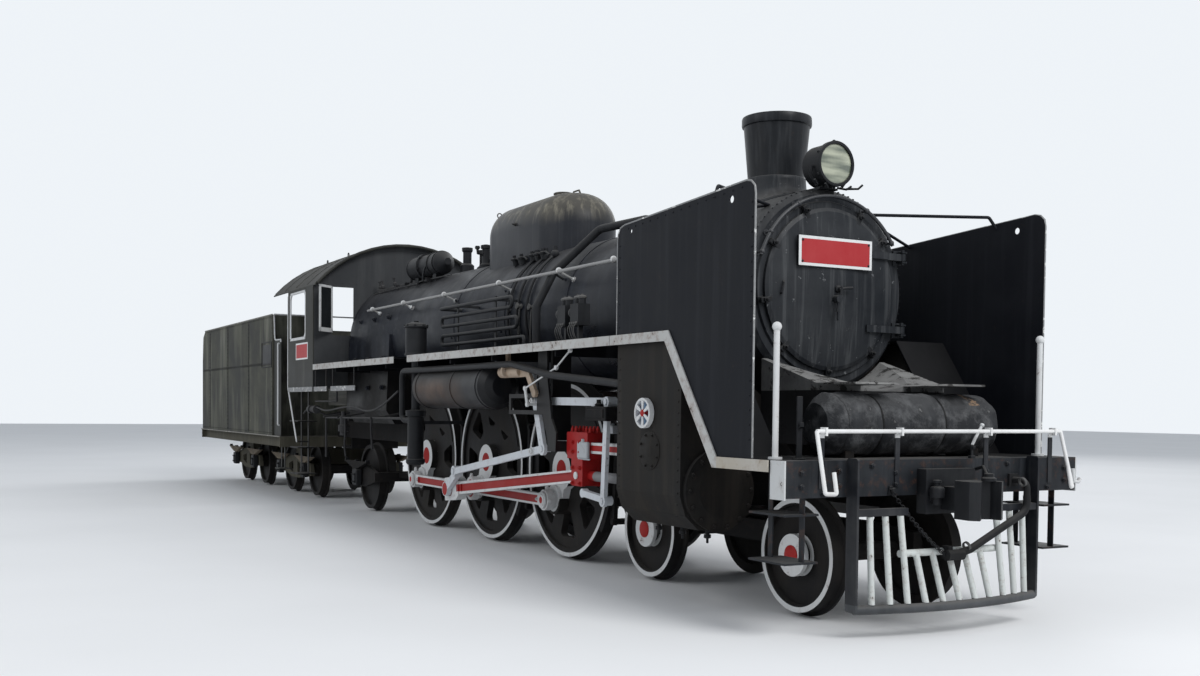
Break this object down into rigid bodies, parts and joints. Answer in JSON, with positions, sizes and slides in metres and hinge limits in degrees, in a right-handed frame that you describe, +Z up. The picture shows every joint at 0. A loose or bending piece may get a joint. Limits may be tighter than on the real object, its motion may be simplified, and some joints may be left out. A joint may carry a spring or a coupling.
{
  "type": "narrow gauge steam locomotive with tender",
  "caption": "Tender steam locomotive with coupled driving wheels, smoke deflectors, outside valve gear, cab and bogie tender.",
  "frame": {"origin": "middle of the length over couplers, on the centreline, level with the bottom of the wheel flanges", "axes": "+X forward along the track, +Y to the locomotive's left, +Z up"},
  "size_m": [20.28, 2.804, 3.975],
  "materials": {
    "black_paint": "semi-gloss black enamel, weathered",
    "wheel_black": "black enamel with white painted rims",
    "rod_red": "red enamel in the flutes, off-white edges",
    "off_white": "off-white enamel",
    "edge_grey": "black enamel with pale grey edging",
    "tender_black": "faded black enamel, streaked"
  },
  "bodies": {
    "engine": {"apron": "black_paint", "auxiliary_machines": "black_paint", "backhead": "black_paint", "boiler": "black_paint", "boiler_handrails": "off_white", "boiler_pipes": "black_paint", "brake_gear": "black_paint", "brake_hose": "black_paint", "buffer_beam": "edge_grey", "cab_floor": "black_paint", "cab_front": "black_paint", "cab_roof": "black_paint", "cab_side_left": "black_paint", "cab_side_right": "black_paint", "chimney": "black_paint", "crosshead_left": "rod_red", "crosshead_right": "rod_red", "cylinders": "black_paint", "dome": "black_paint", "firebox": "black_paint", "front_coupler": "black_paint", "front_drum": "black_paint", "front_platform": "black_paint", "headlamp": "black_paint", "main_frame": "black_paint", "main_rod_left": "rod_red", "main_rod_right": "rod_red", "pilot": "off_white", "reservoirs": "black_paint", "running_board_left": "edge_grey", "running_board_right": "edge_grey", "safety_valves": "black_paint", "slide_bars": "black_paint", "smoke_deflector_left": "edge_grey", "smoke_deflector_right": "edge_grey", "smokebox": "black_paint", "uncoupling_rail": "off_white", "valve_gear_left": "off_white", "valve_gear_right": "off_white"},
    "driving_axle_main": {"driving_wheels_main": "wheel_black"},
    "driving_axle_front": {"driving_wheels_front": "wheel_black"},
    "driving_axle_rear": {"driving_wheels_rear": "wheel_black"},
    "side_rod_right": {"coupling_rod_right": "rod_red"},
    "side_rod_left": {"coupling_rod_left": "rod_red"},
    "leading_bogie_frame": {"leading_bogie": "black_paint"},
    "leading_axle_front": {"leading_wheels_front": "wheel_black"},
    "leading_axle_rear": {"leading_wheels_rear": "wheel_black"},
    "trailing_truck_frame": {"trailing_truck": "black_paint"},
    "trailing_axle": {"trailing_wheels": "wheel_black"},
    "door": {"smokebox_door": "black_paint"},
    "tender": {"tender_frame": "tender_black", "tender_tank": "tender_black", "tender_coupler": "tender_black", "tender_fittings": "tender_black"},
    "tender_bogie_frame_front": {"tender_bogie_front": "tender_black"},
    "tender_bogie_frame_rear": {"tender_bogie_rear": "tender_black"},
    "tender_axle_1": {"tender_front_wheels_1": "wheel_black"},
    "tender_axle_2": {"tender_front_wheels_2": "wheel_black"},
    "tender_axle_3": {"tender_rear_wheels_1": "wheel_black"},
    "tender_axle_4": {"tender_rear_wheels_2": "wheel_black"}
  },
  "joints": [
    {"name": "main_axle_spin", "type": "hinge", "parent": "engine", "child": "driving_axle_main", "pos_m": [3.19, 0, 0.905], "axis": [0, 1, 0], "continuous": true},
    {"name": "front_axle_spin", "type": "hinge", "parent": "engine", "child": "driving_axle_front", "pos_m": [5.09, 0, 0.905], "axis": [0, 1, 0], "continuous": true},
    {"name": "rear_axle_spin", "type": "hinge", "parent": "engine", "child": "driving_axle_rear", "pos_m": [1.29, 0, 0.905], "axis": [0, 1, 0], "continuous": true},
    {"name": "side_rod_right_pin", "type": "hinge", "parent": "driving_axle_main", "child": "side_rod_right", "pos_m": [3.06638, -0.777, 0.59903], "axis": [0, 1, 0], "continuous": true},
    {"name": "side_rod_left_pin", "type": "hinge", "parent": "driving_axle_main", "child": "side_rod_left", "pos_m": [3.49597, 0.777, 0.78138], "axis": [0, 1, 0], "continuous": true},
    {"name": "leading_bogie_swivel", "type": "hinge", "parent": "engine", "child": "leading_bogie_frame", "pos_m": [7.765, 0, 0.615], "axis": [0, 0, 1], "range_deg": [-3, 3]},
    {"name": "leading_front_spin", "type": "hinge", "parent": "leading_bogie_frame", "child": "leading_axle_front", "pos_m": [8.82, 0, 0.46], "axis": [0, 1, 0], "continuous": true},
    {"name": "leading_rear_spin", "type": "hinge", "parent": "leading_bogie_frame", "child": "leading_axle_rear", "pos_m": [6.71, 0, 0.46], "axis": [0, 1, 0], "continuous": true},
    {"name": "trailing_truck_swivel", "type": "hinge", "parent": "engine", "child": "trailing_truck_frame", "pos_m": [0.29, 0, 0.545], "axis": [0, 0, 1], "range_deg": [-3, 3]},
    {"name": "trailing_spin", "type": "hinge", "parent": "trailing_truck_frame", "child": "trailing_axle", "pos_m": [-1.16, 0, 0.5], "axis": [0, 1, 0], "continuous": true},
    {"name": "smokebox_door_hinge", "type": "hinge", "parent": "engine", "child": "door", "pos_m": [8.422, 0.735, 2.488], "axis": [0, 0, 1], "range_deg": [0, 100]},
    {"name": "tender_swing", "type": "hinge", "parent": "engine", "child": "tender", "pos_m": [-3, 0, 0.965], "axis": [0, 0, 1], "range_deg": [-4, 4]},
    {"name": "tender_front_bogie_swivel", "type": "hinge", "parent": "tender", "child": "tender_bogie_frame_front", "pos_m": [-4.784, 0, 0.73], "axis": [0, 0, 1], "range_deg": [-4, 4]},
    {"name": "tender_rear_bogie_swivel", "type": "hinge", "parent": "tender", "child": "tender_bogie_frame_rear", "pos_m": [-8.308, 0, 0.73], "axis": [0, 0, 1], "range_deg": [-4, 4]},
    {"name": "tender_axle_1_spin", "type": "hinge", "parent": "tender_bogie_frame_front", "child": "tender_axle_1", "pos_m": [-4.0055, 0, 0.46], "axis": [0, 1, 0], "continuous": true},
    {"name": "tender_axle_2_spin", "type": "hinge", "parent": "tender_bogie_frame_front", "child": "tender_axle_2", "pos_m": [-5.5625, 0, 0.46], "axis": [0, 1, 0], "continuous": true},
    {"name": "tender_axle_3_spin", "type": "hinge", "parent": "tender_bogie_frame_rear", "child": "tender_axle_3", "pos_m": [-7.5295, 0, 0.46], "axis": [0, 1, 0], "continuous": true},
    {"name": "tender_axle_4_spin", "type": "hinge", "parent": "tender_bogie_frame_rear", "child": "tender_axle_4", "pos_m": [-9.0865, 0, 0.46], "axis": [0, 1, 0], "continuous": true}
  ],
  "couplings": [
    {"joint": "front_axle_spin", "follows": "main_axle_spin", "ratio": 1},
    {"joint": "rear_axle_spin", "follows": "main_axle_spin", "ratio": 1},
    {"joint": "side_rod_right_pin", "follows": "main_axle_spin", "ratio": -1},
    {"joint": "side_rod_left_pin", "follows": "main_axle_spin", "ratio": -1}
  ]
}
